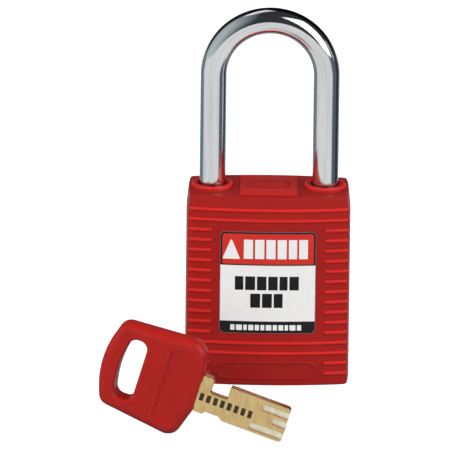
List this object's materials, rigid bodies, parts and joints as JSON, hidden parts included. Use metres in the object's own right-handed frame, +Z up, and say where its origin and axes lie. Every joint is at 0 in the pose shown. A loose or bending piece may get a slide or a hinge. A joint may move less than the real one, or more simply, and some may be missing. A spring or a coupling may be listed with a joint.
{
  "type": "safety padlock",
  "caption": "Lockout padlock with a ribbed red nylon body, steel shackle, slider key cylinder and a plastic-headed brass key standing in front.",
  "frame": {"origin": "middle of the body's bottom face, where the key goes in", "axes": "+Z up along the shackle legs, +X right across the body, +Y to the back; the label faces -Y"},
  "size_m": [0.061, 0.0634, 0.0935],
  "materials": {
    "nylon_red": "moulded nylon, satin",
    "label_face": "printed vinyl, gloss",
    "brass": "turned brass",
    "hardened_steel": "hardened, dull",
    "spring_steel": "bright spring steel",
    "plated_steel": "zinc plated, bright",
    "ball_steel": "polished",
    "nickel_silver": "stamped nickel silver",
    "key_brass": "milled brass",
    "key_plastic": "moulded nylon, satin"
  },
  "bodies": {
    "root": {"body": "nylon_red", "label": "label_face", "cylinder_housing": "brass", "face_plate": "hardened_steel", "locking_ring": "spring_steel", "ring_spacer": "brass", "cylinder_pin": "hardened_steel", "retaining_pin": "hardened_steel", "shackle_spring": "spring_steel"},
    "shackle": {"shackle": "plated_steel"},
    "plug": {"plug": "brass", "plug_cap": "brass", "plug_clip": "spring_steel", "cam": "hardened_steel", "slider_spring_1": "spring_steel", "slider_spring_2": "spring_steel", "slider_spring_3": "spring_steel", "slider_spring_4": "spring_steel", "slider_spring_5": "spring_steel", "slider_spring_6": "spring_steel"},
    "ball_left": {"ball_left": "ball_steel"},
    "ball_right": {"ball_right": "ball_steel"},
    "slider_1": {"slider_1": "nickel_silver"},
    "slider_2": {"slider_2": "nickel_silver"},
    "slider_3": {"slider_3": "nickel_silver"},
    "slider_4": {"slider_4": "nickel_silver"},
    "slider_5": {"slider_5": "nickel_silver"},
    "slider_6": {"slider_6": "nickel_silver"},
    "key": {"key_blade": "key_brass", "key_head": "key_plastic"}
  },
  "joints": [
    {"name": "shackle_slide", "type": "slide", "parent": "root", "child": "shackle", "axis": [0, 0, 1], "range_m": [0, 0.012], "deforming": ["shackle_spring"]},
    {"name": "plug_turn", "type": "hinge", "parent": "root", "child": "plug", "pos_m": [0, 0, 0.0205], "axis": [0, 0, 1], "range_deg": [-90, 0]},
    {"name": "ball_left_slide", "type": "slide", "parent": "root", "child": "ball_left", "axis": [-1, 0, 0], "range_m": [0, 0.0018]},
    {"name": "ball_right_slide", "type": "slide", "parent": "root", "child": "ball_right", "axis": [1, 0, 0], "range_m": [0, 0.0018]},
    {"name": "slider_1_slide", "type": "slide", "parent": "plug", "child": "slider_1", "axis": [0, 0, -1], "range_m": [0, 0.00605], "deforming": ["slider_spring_1"]},
    {"name": "slider_2_slide", "type": "slide", "parent": "plug", "child": "slider_2", "axis": [0, 0, -1], "range_m": [0, 0.00275], "deforming": ["slider_spring_2"]},
    {"name": "slider_3_slide", "type": "slide", "parent": "plug", "child": "slider_3", "axis": [0, 0, -1], "range_m": [0, 0.00095], "deforming": ["slider_spring_3"]},
    {"name": "slider_4_slide", "type": "slide", "parent": "plug", "child": "slider_4", "axis": [0, 0, -1], "range_m": [0, 0.00605], "deforming": ["slider_spring_4"]},
    {"name": "slider_5_slide", "type": "slide", "parent": "plug", "child": "slider_5", "axis": [0, 0, -1], "range_m": [0, 0.00275], "deforming": ["slider_spring_5"]},
    {"name": "slider_6_slide", "type": "slide", "parent": "plug", "child": "slider_6", "axis": [0, 0, -1], "range_m": [0, 0.00095], "deforming": ["slider_spring_6"]},
    {"name": "key_lift", "type": "slide", "parent": "root", "child": "key", "axis": [0, 0, 1], "range_m": [0, 0.06]}
  ],
  "couplings": [
    {"joint": "ball_left_slide", "follows": "plug_turn", "m_per_rad": -0.0010663},
    {"joint": "ball_right_slide", "follows": "plug_turn", "m_per_rad": -0.0010663},
    {"joint": "slider_2_slide", "follows": "slider_1_slide", "ratio": 0.45454},
    {"joint": "slider_3_slide", "follows": "slider_1_slide", "ratio": 0.15702},
    {"joint": "slider_4_slide", "follows": "slider_1_slide", "ratio": 1},
    {"joint": "slider_5_slide", "follows": "slider_1_slide", "ratio": 0.45454},
    {"joint": "slider_6_slide", "follows": "slider_1_slide", "ratio": 0.15702}
  ]
}
